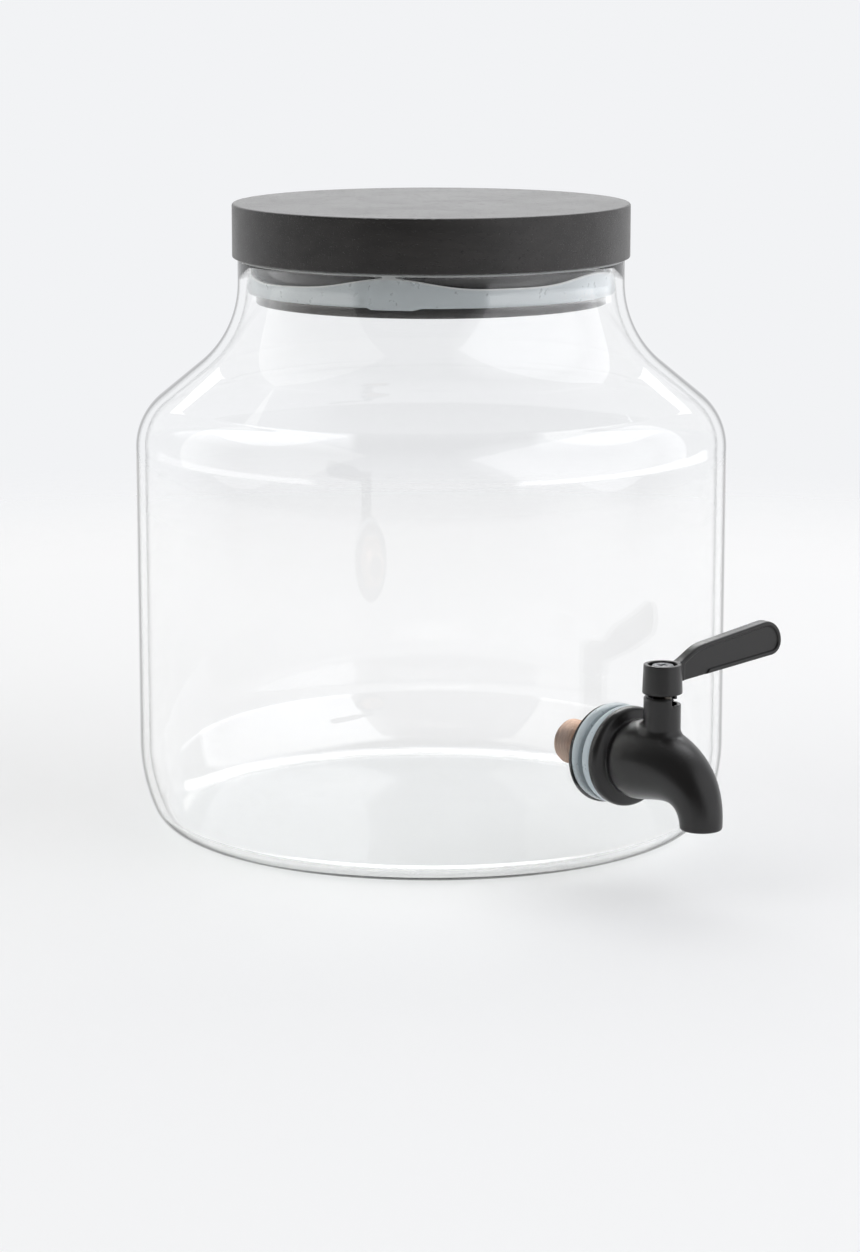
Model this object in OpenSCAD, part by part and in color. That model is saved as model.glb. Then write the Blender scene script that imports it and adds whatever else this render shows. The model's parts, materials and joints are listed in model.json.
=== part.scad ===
// Clear glass dispenser jar with a turned wooden lid and a quarter-turn lever tap.
// Millimetres, +Z up. The origin is the middle of the foot ring, on the surface that the jar
// stands on. The tap points along -Y, and the lever is drawn shut, square to the spout.

/* [Jar] */
// Outside diameter of the body
body_d = 217; // [212:0.5:222]
// Outside diameter of the neck
neck_d = 141.4; // [139:0.2:144]
// Height from the foot to the rim
jar_h = 210.3; // [206:0.1:216]
// Thickness of the blown wall
wall = 3.2; // [2.8:0.1:3.6]
// Thickness of the glass under the contents
floor_t = 3.4; // [3:0.1:5]
// Height at which the straight wall turns into the shoulder
shoulder_z = 141.2; // [137:0.2:144]
// Slope of the shoulder, in degrees from level
shoulder_slope = 39.3; // [37:0.1:41]
// Radius of the bend from the wall to the shoulder
shoulder_r = 23.3; // [20:0.1:26]
// Radius of the sweep from the shoulder up to the neck
neck_sweep_r = 38.8; // [34:0.1:42]
// Height below which the wall draws in towards the foot
heel_z = 31.4; // [29:0.1:33]
// Radius of the long curve of the heel
heel_sweep_r = 62.6; // [58:0.1:66]
// Radius of the corner between the heel and the foot
heel_r = 12.4; // [11:0.1:14]
// Width of the flat ring that the jar stands on
foot_w = 4; // [3:0.5:6]
// Rise of the push-up inside the foot ring
punt_rise = 2.4; // [1:0.1:4]

/* [Lid] */
// Diameter of the wooden disc
lid_d = 145.2; // [144:0.2:148]
// Thickness of the wooden disc
lid_h = 19.5; // [16:0.5:24]
// Radius of the eased edges of the disc
lid_edge_r = 1.8; // [1:0.1:3]
// Clearance under the disc, over the rim
lid_gap = 0.2; // [0.1:0.1:0.5]
// Diameter of the plug under the disc
plug_d = 128; // [126:0.5:130]
// Depth of the plug below the disc
plug_h = 16.3; // [15:0.1:20]
// Height of the plug's lower rim, under the seal
plug_rim_h = 3.7; // [3:0.1:5]
// Depth of the groove that holds the seal
seal_groove = 2.4; // [2:0.1:3]
// Height of the seal's root, in the groove
seal_root_h = 5.4; // [4:0.1:6]
// Height of the seal from its root to the tip of its lip
seal_h = 10.7; // [8:0.1:12]
// Thickness of the seal's lip
seal_lip = 1.3; // [1:0.1:1.6]

/* [Tap] */
// Height of the tap's axis above the table
tap_h = 43.7; // [42:0.1:48]
// Diameter of the hole in the glass
tap_hole_d = 17; // [16.6:0.1:18]
// Thread diameter of the shank
shank_d = 16; // [15.6:0.1:16.2]
// Bore of the shank
shank_bore = 11; // [9:0.5:12]
// Length of the shank from the nut to its free end
shank_tail = 15.9; // [12:0.1:20]
// Depth of the shank's socket in the body
shank_socket = 8; // [6:0.5:9]
// Diameter of both silicone washers
washer_d = 35; // [33:0.1:36]
// Thickness of the outer washer, on the axis
outer_washer_t = 2.4; // [2:0.1:4]
// Thickness of the inner washer, on the axis
inner_washer_t = 4.6; // [4:0.1:6]
// Thickness of the flat backing washer
backing_t = 1; // [0.8:0.1:1.5]
// How far the loose backing washer hangs below the tap's axis
backing_sag = 0.7; // [0:0.1:1]
// Width of the nut across its flats
nut_af = 22; // [21:0.5:24]
// Thickness of the nut
nut_t = 4.2; // [3:0.1:5]
// Diameter of the flange
flange_d = 35.4; // [34:0.1:36]
// Thickness of the flange, from its back to the groove round the barrel
flange_t = 5.1; // [4.5:0.1:6]
// Distance from the back of the flange to the stem's axis
stem_reach = 18.7; // [17.5:0.1:20]
// Distance from the stem's axis to the middle of the mouth
mouth_reach = 20.7; // [19.5:0.1:22]
// Drop from the tap's axis to the end of the mouth
mouth_drop = 19; // [18:0.1:20]
// Outside diameter of the mouth
mouth_d = 14.8; // [14:0.1:16]
// Bore of the mouth
mouth_bore = 11; // [10:0.1:11.4]
// Sides of the barrel and spout
spout_sides = 36; // [24:4:48]
// Sections along the barrel and spout
spout_steps = 18; // [14:1:24]

/* [Valve] */
// Diameter of the stem
stem_d = 13; // [12.8:0.1:14]
// Height of the stem's top above the tap's axis
stem_h = 24.3; // [23.5:0.1:26]
// Bore that the spindle turns in
valve_bore = 10; // [9.6:0.1:10.2]
// Depth of that bore below the tap's axis
valve_depth = 10; // [9:0.1:10.4]
// Radial clearance of the spindle in its bore
spindle_fit = 0.06; // [0.03:0.01:0.1]
// Diameter of the port through the valve
port_d = 5.6; // [5:0.1:5.8]
// Diameter of the spindle's neck
neck_pin_d = 6.4; // [6:0.1:6.6]
// Width across the flats that drive the lever
drive_af = 5; // [4.6:0.1:5.4]
// Spread of the fillet that runs the stem into the barrel
stem_fillet = 3; // [2:0.1:4]
// Depth of the stop notch in the stem's rim
notch_depth = 2.6; // [2:0.1:3]
// Half the angle that the stop lug spans, in degrees
lug_half = 6; // [4:0.5:8]
// Free play of the lug at each end of its travel, in degrees
lug_play = 3; // [2:0.5:4]
// Travel of the lever from shut to open, in degrees
lever_travel = 90; // [80:1:95]

/* [Lever] */
// Diameter of the hub at its top
hub_d = 13.3; // [12.8:0.1:14]
// Diameter of the hub at its foot
hub_foot_d = 14; // [13:0.1:15]
// Height of the hub
hub_h = 10.4; // [9.5:0.1:12]
// Gap between the stem's rim and the hub
hub_gap = 1; // [0.8:0.1:1.4]
// Distance from the stem's axis to the tip of the blade
lever_reach = 54.05; // [48:0.05:60]
// Thickness of the blade
blade_t = 4.6; // [4:0.1:5.5]
// Bevel round the blade's edges
blade_bevel = 0.8; // [0.5:0.1:1]
// Width of the raised rim round the blade
rim_w = 1.5; // [1.2:0.1:2]
// Depth of the panel inside the rim
panel_depth = 0.55; // [0.3:0.05:0.8]

/* [Hidden] */
$fn = 64;
eps = 0.01;
seat = 0.02;         // gap between pieces that bear on each other across a curved face
body_r = body_d / 2;
neck_r = neck_d / 2;
bore_r = body_r - wall;
neck_bore_r = neck_r - wall;
lid_z = jar_h + lid_gap;
plug_r = plug_d / 2;
plug_z = lid_z - plug_h;
seal_z = plug_z + plug_rim_h;
seal_r = neck_bore_r - 0.3;
// stations along the tap's axis, as distances from the jar's axis
flange_s = body_r + outer_washer_t;
inner_s = bore_r - inner_washer_t;
backing_s = inner_s - backing_t;
nut_s = backing_s - nut_t;
shank_s = nut_s - shank_tail;
barrel_s = flange_s + flange_t;
stem_s = flange_s + stem_reach;
// heights round the stem, above the table
stem_z = tap_h + stem_h;
hub_z = stem_z + hub_gap;
ring_z = stem_z - 6.9;
shoulder_top = ring_z - 0.85;
hub_recess = 3;
screw_d = 4;

// ---- shared shapes ----

function arc(c, r, a0, a1, n) =
    [for (i = [0:n]) let (a = a0 + (a1 - a0) * i / n) c + r * [cos(a), sin(a)]];

function bezier(p, u) =
    p[0] * pow(1 - u, 3) + p[1] * 3 * u * pow(1 - u, 2) + p[2] * 3 * u * u * (1 - u) + p[3] * pow(u, 3);

function bezier_slope(p, u) =
    (p[1] - p[0]) * pow(1 - u, 2) + (p[2] - p[1]) * 2 * u * (1 - u) + (p[3] - p[2]) * u * u;

// Puts its children on the tap's axis: their +Z runs outwards, their +Y is up.
module on_tap_axis(s = 0) {
    translate([0, -s, tap_h]) rotate([90, 0, 0]) children();
}

// Puts its children on the stem's axis.
module on_stem(z = 0) {
    translate([0, -stem_s, z]) children();
}

module tube(outer_r, inner_r, h) {
    difference() {
        cylinder(r = outer_r, h = h);
        translate([0, 0, -eps]) cylinder(r = inner_r, h = h + 2 * eps);
    }
}

// ---- jar ----

// The heel of one skin of the glass: a short corner that runs into a long curve and the wall.
// r is the skin's radius, z0 the height of the flat it starts from.
function heel_angle(sweep, corner, z0) =
    -asin((heel_z - z0 - corner) / (sweep - corner));

function heel(r, sweep, corner, z0) =
    let (a = heel_angle(sweep, corner, z0),
         hub = [r - sweep, heel_z],
         c = hub + (sweep - corner) * [cos(a), sin(a)])
    concat(arc(c, corner, -90, a, 7), arc(hub, sweep, a, 0, 7));

shoulder_a = 90 - shoulder_slope;
shoulder_c = [body_r - shoulder_r, shoulder_z];
// length of the straight slope, and from it the height at which the neck stands upright
slope_len = (shoulder_c.x + shoulder_r * cos(shoulder_a)
    - neck_r - neck_sweep_r * (1 - cos(shoulder_a))) / sin(shoulder_a);
neck_z = shoulder_z + (shoulder_r + neck_sweep_r) * sin(shoulder_a) + slope_len * cos(shoulder_a);
neck_c = [neck_r + neck_sweep_r, neck_z];

// One skin of the shoulder, inset from the outer one by t.
function shoulder(t) =
    concat(arc(shoulder_c, shoulder_r - t, 0, shoulder_a, 8),
           arc(neck_c, neck_sweep_r + t, 180 + shoulder_a, 180, 8));

function reversed(list) = [for (i = [len(list) - 1:-1:0]) list[i]];

// The push-up of the base at a share k of its radius: it leaves the flat softly and is level on the axis.
function push_up(k) = punt_rise * (1 + cos(180 * k)) / 2;

module jar_profile() {
    outer_heel = heel(body_r, heel_sweep_r, heel_r, 0);
    inner_heel = heel(bore_r, heel_sweep_r - wall, heel_r - wall, floor_t);
    foot_in = outer_heel[0].x - foot_w;
    floor_r = inner_heel[0].x;
    punt = [for (k = [0:1/8:7/8]) [foot_in * k, push_up(k)]];
    floor_top = [for (k = [7/8:-1/8:0]) [floor_r * k, floor_t + push_up(k)]];
    polygon(concat(
        punt,
        [[foot_in, 0]],
        outer_heel,
        shoulder(0),
        arc([neck_r - wall / 2, jar_h - wall / 2], wall / 2, 0, 180, 8),
        reversed(shoulder(wall)),
        reversed(inner_heel),
        floor_top
    ));
}

module glass_jar() {
    color([0.80, 0.88, 0.88, 0.35])
    difference() {
        rotate_extrude($fn = 128) jar_profile();
        on_tap_axis(bore_r - 4) cylinder(d = tap_hole_d, h = wall + 8);
    }
}

// ---- lid ----

module lid_disc() {
    r = lid_d / 2;
    e = lid_edge_r;
    color("#2b2a29")
    rotate_extrude($fn = 128)
    translate([0, lid_z])
    polygon(concat(
        [[0, 0]],
        arc([r - e, e], e, -90, 0, 5),
        arc([r - e, lid_h - e], e, 0, 90, 5),
        [[0, lid_h]]
    ));
}

module lid_plug() {
    groove_r = plug_r - seal_groove;
    bevel = 0.8;
    color("#2b2a29")
    rotate_extrude($fn = 128)
    polygon([
        [0, plug_z], [plug_r - bevel, plug_z], [plug_r, plug_z + bevel], [plug_r, seal_z],
        [groove_r, seal_z], [groove_r, seal_z + seal_root_h], [plug_r, seal_z + seal_root_h],
        [plug_r, lid_z], [0, lid_z]
    ]);
}

// The root fills the groove. The lip leaves its foot, leans out to the neck and stands free.
module lid_seal() {
    root_r = plug_r - seal_groove + seat;
    lip_r = seal_r;
    color([0.90, 0.92, 0.91, 0.8])
    rotate_extrude($fn = 128)
    translate([0, seal_z])
    polygon([
        [root_r, seat], [plug_r + 1, seat], [lip_r - 0.5, 2.2], [lip_r, 4.4],
        [lip_r, seal_h - 0.3], [lip_r - 0.3, seal_h], [lip_r - seal_lip, seal_h],
        [lip_r - seal_lip, 4.6], [plug_r + 0.9, seal_root_h - 2], [plug_r + 0.5, seal_root_h - seat],
        [root_r, seal_root_h - seat]
    ]);
}

// ---- tap: what is clamped to the glass ----

// Centre line of the barrel and spout, as [distance along the axis, height above it].
lip_r = 0.9;
spine = [
    [barrel_s, 0],
    [barrel_s + 2.5, 0],
    [stem_s + mouth_reach, 5],
    [stem_s + mouth_reach, lip_r - mouth_drop]
];
spine_radius = [13.3, 16.4, 8.7, mouth_d / 2];

// One station of the loft: centre, direction and radius. The last two round the mouth over.
function station(i) =
    let (u = min(i / spout_steps, 1), roll = 45 * max(i - spout_steps, 0),
         dir = bezier_slope(spine, u) / norm(bezier_slope(spine, u)))
    [bezier(spine, u) + dir * lip_r * sin(roll), dir,
     bezier(spine_radius, u) - lip_r * (1 - cos(roll))];

function spout_ring(st) = [
    for (j = [0:spout_sides - 1])
    let (a = 360 * j / spout_sides, out = st[2] * sin(a), side = [-st[1].y, st[1].x])
    [st[2] * cos(a), -(st[0].x + out * side.x), tap_h + st[0].y + out * side.y]
];

module barrel_and_spout() {
    rings = spout_steps + 2;
    points = [for (i = [0:rings]) each spout_ring(station(i))];
    sides = [
        for (i = [0:rings - 1], j = [0:spout_sides - 1])
        let (k = (j + 1) % spout_sides, a = i * spout_sides, b = a + spout_sides)
        [a + j, b + j, b + k, a + k]
    ];
    back = [[for (j = [0:spout_sides - 1]) j]];
    mouth = [[for (j = [spout_sides - 1:-1:0]) rings * spout_sides + j]];
    polyhedron(points, concat(sides, back, mouth));
}

// Flange with a domed face, and the narrow groove that sets it off from the barrel.
module flange() {
    r = flange_d / 2;
    on_tap_axis(flange_s)
    rotate_extrude()
    polygon(concat(
        [[0, 0], [r - 0.4, 0], [r, 0.4]],
        arc([r - 2.6, 1.2], 2.6, 0, 66, 5),
        [[13.9, flange_t - 0.5], [12.6, flange_t - 0.3], [12.6, flange_t + 1], [0, flange_t + 1]]
    ));
}

module stem() {
    r = stem_d / 2;
    on_stem()
    rotate_extrude()
    polygon([[0, tap_h], [r, tap_h], [r, stem_z - 0.4], [r - 0.4, stem_z], [0, stem_z]]);
}

// Where the spine reaches the distance s along the axis, by halving.
function spine_at(s, low = 0, high = 1, halvings = 14) =
    let (mid = (low + high) / 2)
    halvings == 0 ? mid
        : bezier(spine, mid).x < s ? spine_at(s, mid, high, halvings - 1)
        : spine_at(s, low, mid, halvings - 1);

// Height of the barrel's back over the table, at x to the side of the axis and s along it.
function barrel_top(x, s) =
    let (u = spine_at(s), dir = bezier_slope(spine, u), r = bezier(spine_radius, u))
    tap_h + bezier(spine, u).y + sqrt(max(r * r - x * x, 0)) * norm(dir) / dir.x;

// One point of the fillet between stem and barrel, k = 0 on the stem to 1 on the barrel.
function fillet_point(a, k) =
    let (r0 = stem_d / 2, r1 = r0 + stem_fillet, sunk = 0.25,
         foot = barrel_top(r1 * cos(a), stem_s - r1 * sin(a)),
         inner = barrel_top(r0 * cos(a), stem_s - r0 * sin(a)),
         p = [[r0 - sunk, inner + stem_fillet * 0.9], [r0, inner + stem_fillet * 0.2],
              [r0 + stem_fillet * 0.45, (inner + foot) / 2 + sunk], [r1, foot - sunk]],
         q = bezier(p, k))
    [q.x * cos(a), q.x * sin(a), q.y];

// The fillet follows the round of the barrel, so its edge is a saddle.
module stem_saddle() {
    sides = 32;
    steps = 5;
    rings = [
        for (i = [0:steps]) [for (j = [0:sides - 1]) fillet_point(360 * j / sides, i / steps)],
        [for (j = [0:sides - 1]) [4 * cos(360 * j / sides), 4 * sin(360 * j / sides), tap_h]]
    ];
    skin = [
        for (i = [0:steps], j = [0:sides - 1])
        let (k = (j + 1) % sides, a = i * sides, b = a + sides)
        [a + j, a + k, b + k, b + j]
    ];
    top = len(rings) * sides;
    crown = [for (j = [0:sides - 1]) [top, (j + 1) % sides, j]];
    bottom = [[for (j = [0:sides - 1]) (steps + 1) * sides + j]];
    on_stem()
    polyhedron(
        concat([for (ring = rings) each ring], [[0, 0, barrel_top(0, stem_s) + stem_fillet]]),
        concat(skin, crown, bottom)
    );
}

// Cut in the stem's rim that the lever's lug travels in.
module stop_notch() {
    from = -lever_travel - lug_half - lug_play;
    span = lever_travel + 2 * (lug_half + lug_play);
    on_stem(stem_z - notch_depth)
    rotate([0, 0, from])
    rotate_extrude(angle = span)
    translate([valve_bore / 2 - 0.5, 0])
    square([stem_d / 2 - valve_bore / 2 + 2, notch_depth + 1]);
}

// Passage from the valve down to the mouth.
module spout_passage() {
    knee = [stem_s + 6.5, 0];
    end = [stem_s + mouth_reach, -12];
    run = end - knee;
    on_tap_axis(stem_s) cylinder(d = port_d, h = knee.x - stem_s + 0.5);
    on_tap_axis(knee.x)
        rotate([-atan2(run.y, run.x), 0, 0])
        translate([0, 0, -1]) cylinder(d = port_d + 0.6, h = norm(run) + 1);
    translate([0, -end.x, tap_h - mouth_drop - 1]) cylinder(d = mouth_bore, h = 9);
}

module tap_body() {
    color("#262524")
    difference() {
        union() {
            flange();
            barrel_and_spout();
            stem();
            stem_saddle();
        }
        on_tap_axis(flange_s - 1) cylinder(d = shank_d + 2 * seat, h = shank_socket + 1);
        on_tap_axis(flange_s) cylinder(d = port_d, h = stem_reach);
        on_stem(tap_h - valve_depth) cylinder(d = valve_bore, h = valve_depth + stem_h + 1);
        on_stem(ring_z) cylinder(d = valve_bore + 1.2, h = 1.1);
        spout_passage();
        stop_notch();
    }
}

module tap_shank() {
    r = shank_d / 2;
    bevel = 0.9;
    length = flange_s + shank_socket - shank_s - 0.1;
    color("#b07f63")
    on_tap_axis(shank_s)
    rotate_extrude()
    polygon([
        [shank_bore / 2, 0], [r - bevel, 0], [r, bevel],
        [r, length], [shank_bore / 2, length]
    ]);
}

// The space inside a skin of the glass, from the foot to well above the tap.
// t is how far the skin stands off the outer one.
module inside_skin(t) {
    rotate_extrude($fn = 128)
    polygon(concat(
        [[0, 0]],
        heel(body_r - t, heel_sweep_r - t, heel_r - t, 0),
        [[body_r - t, tap_h + washer_d], [0, tap_h + washer_d]]
    ));
}

// The washers are flat on one side and fit the round of the glass on the other.
module outer_washer() {
    color([0.72, 0.78, 0.82, 0.8])
    difference() {
        on_tap_axis(body_r - 3) tube(washer_d / 2, shank_d / 2 + 0.2, 3 + outer_washer_t);
        inside_skin(-seat);
    }
}

module inner_washer() {
    color([0.72, 0.78, 0.82, 0.8])
    intersection() {
        on_tap_axis(inner_s) tube(washer_d / 2, shank_d / 2 + 0.2, inner_washer_t + 1);
        inside_skin(wall + seat);
    }
}

module backing_washer() {
    color("#1f1f20")
    on_tap_axis(backing_s)
    translate([0, -backing_sag, 0])
    tube(washer_d / 2, shank_d / 2 + backing_sag + 0.1, backing_t);
}

// Thin hexagon nut, its corners turned off on both faces.
module shank_nut() {
    corner_r = nut_af / 2 / cos(30);
    color("#b07f63")
    on_tap_axis(nut_s)
    difference() {
        intersection() {
            cylinder(r = corner_r, h = nut_t, $fn = 6);
            rotate_extrude() polygon([
                [0, 0], [nut_af / 2, 0], [corner_r + 0.2, 1], [corner_r + 0.2, nut_t - 1],
                [nut_af / 2, nut_t], [0, nut_t]
            ]);
        }
        translate([0, 0, -eps]) cylinder(d = shank_d + 2 * seat, h = nut_t + 2 * eps);
    }
}

// ---- tap: the valve ----

ring_section = 1.5;
groove_r = valve_bore / 2 - ring_section - 0.04;
lower_ring_z = tap_h - 6.2;
upper_ring_z = tap_h + 7;

module ring_groove(z) {
    translate([groove_r, z - ring_section / 2 - 0.15])
        square([valve_bore / 2, ring_section + 0.3]);
}

// Turned plug with two ring grooves, a cross port, a thin neck and two flats at the top.
module spindle() {
    r = valve_bore / 2 - spindle_fit;
    foot = tap_h - valve_depth + 0.3;
    drive_top = hub_z + hub_h - hub_recess - 2.2;
    color("#b9b3a6")
    on_stem()
    difference() {
        union() {
            rotate_extrude() difference() {
                polygon([
                    [0, foot], [r - 0.5, foot], [r, foot + 0.5],
                    [r, shoulder_top], [0, shoulder_top]
                ]);
                ring_groove(lower_ring_z);
                ring_groove(upper_ring_z);
            }
            translate([0, 0, shoulder_top - 1]) cylinder(d = neck_pin_d, h = hub_z - shoulder_top + 1);
            intersection() {
                translate([0, 0, hub_z - 1]) cylinder(d = neck_pin_d, h = drive_top - hub_z + 1);
                translate([-10, -drive_af / 2, 0]) cube([20, drive_af, 100]);
            }
        }
        translate([-10, 0, tap_h]) rotate([0, 90, 0]) cylinder(d = port_d, h = 20);
        translate([0, 0, drive_top - 8]) cylinder(d = screw_d + 0.04, h = 9);
    }
}

module o_ring(z) {
    color("#1c1c1d")
    on_stem(z)
    rotate_extrude()
    translate([valve_bore / 2 - ring_section / 2 - 0.02, 0])
    circle(d = ring_section, $fn = 32);
}

module lower_o_ring() { o_ring(lower_ring_z); }

module upper_o_ring() { o_ring(upper_ring_z); }

module thrust_washer() {
    color("#e8e6df")
    on_stem(shoulder_top + 0.03) tube(valve_bore / 2 - 0.1, neck_pin_d / 2 + 0.1, 0.75);
}

// Open snap ring, sprung into the groove above the thrust washer.
module retaining_ring() {
    gap = 60;
    inner_r = neck_pin_d / 2 + 0.5;
    color("#8d8f92")
    on_stem(ring_z + 0.05)
    rotate([0, 0, gap / 2])
    rotate_extrude(angle = 360 - gap)
    translate([inner_r, 0]) square([valve_bore / 2 + 0.5 - inner_r, 1]);
}

// ---- lever ----

// Side outline of the blade, as [distance from the stem's axis, height above the hub's foot],
// drawn inset by t. It leaves the top of the hub in an S, runs straight and ends in two arcs.
blade_lift = 8.5;     // slope of the top edge, in degrees
blade_fall = 5.5;     // slope of the bottom edge, in degrees
tip_low_r = 4.75;
tip_high_r = 7.35;
tip_z = 12.45;
root_x = 3;           // the neck's end inside the hub
root_z = 9.4;
panel_x = 8.5;        // where the panel starts, beside the hub
slant_x = 20;         // where the rim along the bottom ends, in a slant

function blade_outline(t) =
    let (low_c = [lever_reach - tip_low_r, tip_z - 0.15],
         high_c = [lever_reach - tip_high_r, tip_z + 0.15],
         top_dir = [cos(blade_lift), sin(blade_lift)],
         top_start = high_c + (tip_high_r - t) * [-top_dir.y, top_dir.x] - top_dir * 28,
         low_start = low_c + (tip_low_r - t) * [sin(blade_fall), -cos(blade_fall)],
         neck = [top_start, top_start - top_dir * 6, [9.6, root_z + 1.2 - t], [root_x, root_z - t]])
    concat(
        [low_start - (low_start.x - root_x) * [1, tan(blade_fall)]],
        arc(low_c, tip_low_r - t, -90 + blade_fall, 0, 8),
        arc(high_c, tip_high_r - t, 0, 90 + blade_lift, 10),
        [for (i = [0:8]) bezier(neck, i / 8)]
    );

// The outline as a plate with bevelled edges, centred on the stem's plane.
module blade() {
    n = len(blade_outline(0));
    half = blade_t / 2;
    layers = [[blade_bevel, -half], [0, blade_bevel - half], [0, half - blade_bevel], [blade_bevel, half]];
    points = [for (l = layers) each [for (p = blade_outline(l[0])) [p.x, l[1], p.y]]];
    sides = [
        for (i = [0:2], j = [0:n - 1])
        let (k = (j + 1) % n) [i * n + j, i * n + k, (i + 1) * n + k, (i + 1) * n + j]
    ];
    near = [[for (j = [n - 1:-1:0]) j]];
    far = [[for (j = [0:n - 1]) 3 * n + j]];
    polyhedron(points, concat(sides, near, far));
}

// Sunk panel on one face. Its rim runs round the tip and ends in a slant near the hub.
module panel_cut(side) {
    inset = blade_outline(rim_w);
    n = len(inset);
    // the inset outline without its straight run along the bottom, which stops at the slant
    tip_and_top = [for (i = [1:n - 1]) if (inset[i].x > panel_x) inset[i]];
    rim_end = tip_and_top[0] - (tip_and_top[0].x - slant_x) * [1, tan(blade_fall)];
    rotate([90, 0, 0])
    translate([0, 0, side * blade_t / 2 - panel_depth])
    linear_extrude(2 * panel_depth)
    polygon(concat([[panel_x, 0], [slant_x - 5, 0], rim_end], tip_and_top, [[panel_x, 9.4]]));
}

// Short lug under the hub that runs in the stem's notch, over the stem's own wall.
module lug() {
    inner_r = valve_bore / 2 + 0.2;
    drop = hub_gap + notch_depth - 0.8;
    rotate([0, 0, -lug_half])
    rotate_extrude(angle = 2 * lug_half)
    translate([inner_r, -drop])
    square([stem_d / 2 - inner_r, drop + 0.5]);
}

module lever() {
    web_z = hub_h - hub_recess - 1.9;
    color("#262524")
    on_stem(hub_z)
    difference() {
        union() {
            rotate_extrude() polygon([
                [0, 0], [hub_foot_d / 2 - 0.6, 0], [hub_foot_d / 2, 0.6],
                [hub_d / 2, hub_h - 0.3], [hub_d / 2 - 0.3, hub_h], [0, hub_h]
            ]);
            difference() {
                blade();
                panel_cut(1);
                panel_cut(-1);
            }
            lug();
        }
        translate([0, 0, hub_h - hub_recess]) cylinder(d = 10.4, h = hub_recess + 2);
        translate([0, 0, web_z - 1]) cylinder(d = screw_d + 0.3, h = hub_recess + 2);
        intersection() {
            translate([0, 0, -3]) cylinder(d = neck_pin_d + 0.1, h = web_z + 3);
            translate([-10, -drive_af / 2 - 0.05, -4]) cube([20, drive_af + 0.1, 20]);
        }
    }
}

module lever_washer() {
    color("#a9abad")
    on_stem(hub_z + hub_h - hub_recess) tube(4.3, screw_d / 2 + 0.1, 0.7);
}

// Cheese-head screw with a cross recess.
module lever_screw() {
    head_z = hub_h - hub_recess + 0.72;
    head_h = 1.9;
    color("#a9abad")
    on_stem(hub_z)
    difference() {
        union() {
            translate([0, 0, head_z]) rotate_extrude() polygon([
                [0, 0], [3.9, 0], [3.9, head_h - 0.4], [3.5, head_h], [0, head_h]
            ]);
            translate([0, 0, head_z - 9]) cylinder(d = screw_d - 0.04, h = 9.5);
        }
        for (a = [0, 90]) rotate([0, 0, a + 20])
            translate([-2.1, -0.45, head_z + head_h - 1.3]) cube([4.2, 0.9, 2]);
    }
}

glass_jar();
lid_disc();
lid_plug();
lid_seal();
tap_body();
tap_shank();
outer_washer();
inner_washer();
backing_washer();
shank_nut();
spindle();
lower_o_ring();
upper_o_ring();
thrust_washer();
retaining_ring();
lever();
lever_washer();
lever_screw();
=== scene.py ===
"""Clear glass dispenser jar with a stained wooden lid and a quarter-turn lever tap.

Metres, +Z up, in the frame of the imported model. The origin is the middle of the foot ring, the tap
points along -Y and the lever is drawn shut, square to the spout.
"""
import json
from math import asin, atan2, cos, degrees, pi, radians, remainder, sin, sqrt, tan, tau

import bmesh
import bpy
from bpy.props import FloatProperty, FloatVectorProperty, IntProperty, PointerProperty
from mathutils import Matrix, Vector


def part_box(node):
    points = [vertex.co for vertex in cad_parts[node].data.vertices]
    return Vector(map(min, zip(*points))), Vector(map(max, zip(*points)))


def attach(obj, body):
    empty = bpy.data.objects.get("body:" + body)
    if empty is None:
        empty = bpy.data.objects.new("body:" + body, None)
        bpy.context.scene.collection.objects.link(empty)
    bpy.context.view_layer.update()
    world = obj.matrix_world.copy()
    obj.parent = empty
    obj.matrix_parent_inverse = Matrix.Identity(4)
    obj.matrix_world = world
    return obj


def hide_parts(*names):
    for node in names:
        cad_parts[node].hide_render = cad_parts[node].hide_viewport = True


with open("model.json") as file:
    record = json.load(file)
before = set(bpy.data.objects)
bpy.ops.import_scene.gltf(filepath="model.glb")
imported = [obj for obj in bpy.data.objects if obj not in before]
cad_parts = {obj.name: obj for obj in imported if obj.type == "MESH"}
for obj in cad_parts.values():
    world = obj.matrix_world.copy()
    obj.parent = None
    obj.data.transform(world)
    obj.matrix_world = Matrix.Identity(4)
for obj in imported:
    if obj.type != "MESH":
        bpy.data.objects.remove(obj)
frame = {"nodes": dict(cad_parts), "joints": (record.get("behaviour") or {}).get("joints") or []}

bl_info = {
    "name": "Dispenser Jar",
    "version": (1, 0, 0),
    "blender": (4, 5, 0),
    "location": "View3D > Sidebar > Jar",
    "description": "Builds a glass dispenser jar with a wooden lid and a lever tap",
    "category": "Add Mesh",
}

MM = 0.001
GLASS_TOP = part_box("glass_jar")[1]
DISC_LOW, DISC_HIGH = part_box("lid_disc")
PLUG_LOW, PLUG_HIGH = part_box("lid_plug")
SEAL_LOW, SEAL_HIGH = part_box("lid_seal")
SHANK_LOW, SHANK_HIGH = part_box("tap_shank")
HUB_PIVOT = Vector(next(j["pos_m"] for j in frame["joints"] if j["name"] == "lever_turn"))
TAP_Z = (SHANK_LOW.z + SHANK_HIGH.z) / 2
ON_STEM = Matrix.Translation((0, HUB_PIVOT.y, 0))    # places a piece on the stem's axis
PAST = 1 * MM                # how far a cutter runs past the face that it opens


# ---- colour ----

def srgb(code):
    """Linear red, green and blue of an sRGB hex colour."""
    parts = [int(code[i:i + 2], 16) / 255 for i in (1, 3, 5)]
    return [p / 12.92 if p <= 0.04045 else ((p + 0.055) / 1.055) ** 2.4 for p in parts]


# ---- what a user may change ----

def length(name, text, default, low, high):
    """A length in metres, shown in the scene's units."""
    return FloatProperty(
        name=name, description=text, default=default, min=low, max=high, unit="LENGTH", precision=5)


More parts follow.
